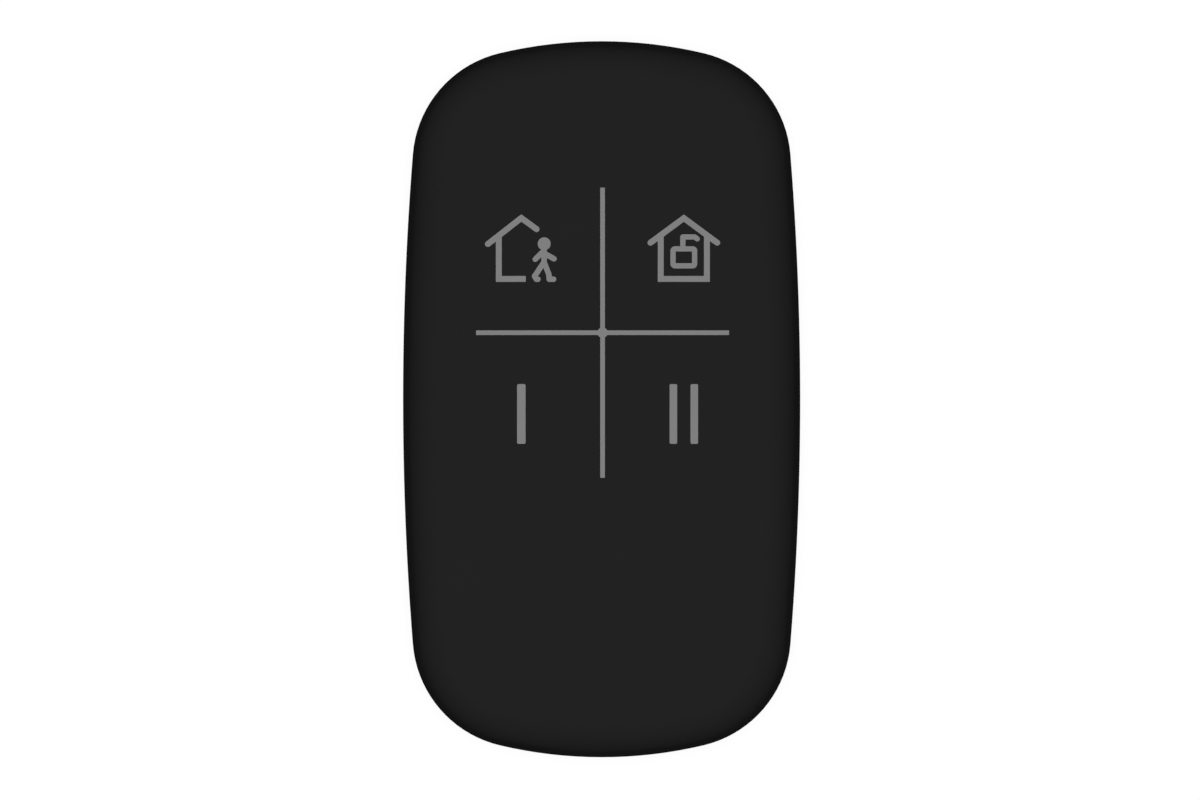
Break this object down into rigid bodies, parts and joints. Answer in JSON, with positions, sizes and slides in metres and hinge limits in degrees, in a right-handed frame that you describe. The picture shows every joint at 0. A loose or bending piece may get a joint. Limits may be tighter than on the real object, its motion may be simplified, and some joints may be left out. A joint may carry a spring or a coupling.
{
  "type": "alarm key fob",
  "caption": "Rounded handheld radio fob for an alarm: soft black face with key zones around a thin cross, coin cell under a screwed door, and a bar at the back for a key ring.",
  "frame": {"origin": "middle of the outline, on the flat back face that the fob lies on", "axes": "+X to the right of the face, +Y to its top end, +Z out of the face"},
  "size_m": [0.0344, 0.062, 0.012],
  "materials": {
    "soft_touch_skin": "soft-touch matt black",
    "grey_mark": "matt mid grey",
    "inner_plastic": "moulded matt black",
    "key_plastic": "moulded dark grey",
    "shell_plastic": "fine spark-eroded matt black",
    "clear_guide": "clear moulded acrylic",
    "board_laminate": "green solder mask",
    "chip_resin": "black moulded resin",
    "crystal_can": "nickel-plated lid",
    "resistor_ceramic": "black glazed ceramic",
    "capacitor_ceramic": "fired tan ceramic",
    "lamp_resin": "translucent resin",
    "contact_metal": "nickel-plated phosphor bronze",
    "cell_steel": "nickel-plated stainless steel",
    "seal_nylon": "natural nylon",
    "bar_steel": "turned stainless steel",
    "screw_steel": "black zinc-plated steel",
    "foam_pad": "closed-cell foam",
    "switch_plastic": "moulded black nylon",
    "stem_plastic": "moulded pale nylon",
    "dome_steel": "rolled spring steel",
    "cover_steel": "tin-plated steel"
  },
  "bodies": {
    "root": {"face_skin": "soft_touch_skin", "cross_mark": "grey_mark", "front_frame": "inner_plastic", "light_guide": "clear_guide", "circuit_board": "board_laminate", "radio_chip": "chip_resin", "crystal": "crystal_can", "resistors": "resistor_ceramic", "capacitors": "capacitor_ceramic", "signal_lamp": "lamp_resin", "aerial": "contact_metal", "positive_contact": "contact_metal", "negative_contact": "contact_metal", "cell_can": "cell_steel", "cell_cap": "cell_steel", "cell_seal": "seal_nylon", "rear_shell": "shell_plastic", "ring_bar": "bar_steel", "case_screws": "screw_steel", "switch_base_away": "switch_plastic", "switch_dome_away": "dome_steel", "switch_cover_away": "cover_steel", "switch_base_disarm": "switch_plastic", "switch_dome_disarm": "dome_steel", "switch_cover_disarm": "cover_steel", "switch_base_one": "switch_plastic", "switch_dome_one": "dome_steel", "switch_cover_one": "cover_steel", "switch_base_two": "switch_plastic", "switch_dome_two": "dome_steel", "switch_cover_two": "cover_steel"},
    "key_away": {"key_away": "key_plastic", "mark_away": "grey_mark", "switch_stem_away": "stem_plastic"},
    "key_disarm": {"key_disarm": "key_plastic", "mark_disarm": "grey_mark", "switch_stem_disarm": "stem_plastic"},
    "key_one": {"key_one": "key_plastic", "mark_one": "grey_mark", "switch_stem_one": "stem_plastic"},
    "key_two": {"key_two": "key_plastic", "mark_two": "grey_mark", "switch_stem_two": "stem_plastic"},
    "battery_door": {"battery_door": "shell_plastic", "door_screws": "screw_steel", "door_pad": "foam_pad"}
  },
  "joints": [
    {"name": "press_away", "type": "slide", "parent": "root", "child": "key_away", "axis": [0, 0, -1], "range_m": [0, 0.0003], "stiffness_N_per_m": 6000, "deforming": ["face_skin", "switch_dome_away"]},
    {"name": "press_disarm", "type": "slide", "parent": "root", "child": "key_disarm", "axis": [0, 0, -1], "range_m": [0, 0.0003], "stiffness_N_per_m": 6000, "deforming": ["face_skin", "switch_dome_disarm"]},
    {"name": "press_one", "type": "slide", "parent": "root", "child": "key_one", "axis": [0, 0, -1], "range_m": [0, 0.0003], "stiffness_N_per_m": 6000, "deforming": ["face_skin", "switch_dome_one"]},
    {"name": "press_two", "type": "slide", "parent": "root", "child": "key_two", "axis": [0, 0, -1], "range_m": [0, 0.0003], "stiffness_N_per_m": 6000, "deforming": ["face_skin", "switch_dome_two"]},
    {"name": "door_off", "type": "slide", "parent": "root", "child": "battery_door", "axis": [0, 0, -1], "range_m": [0, 0.008]}
  ]
}
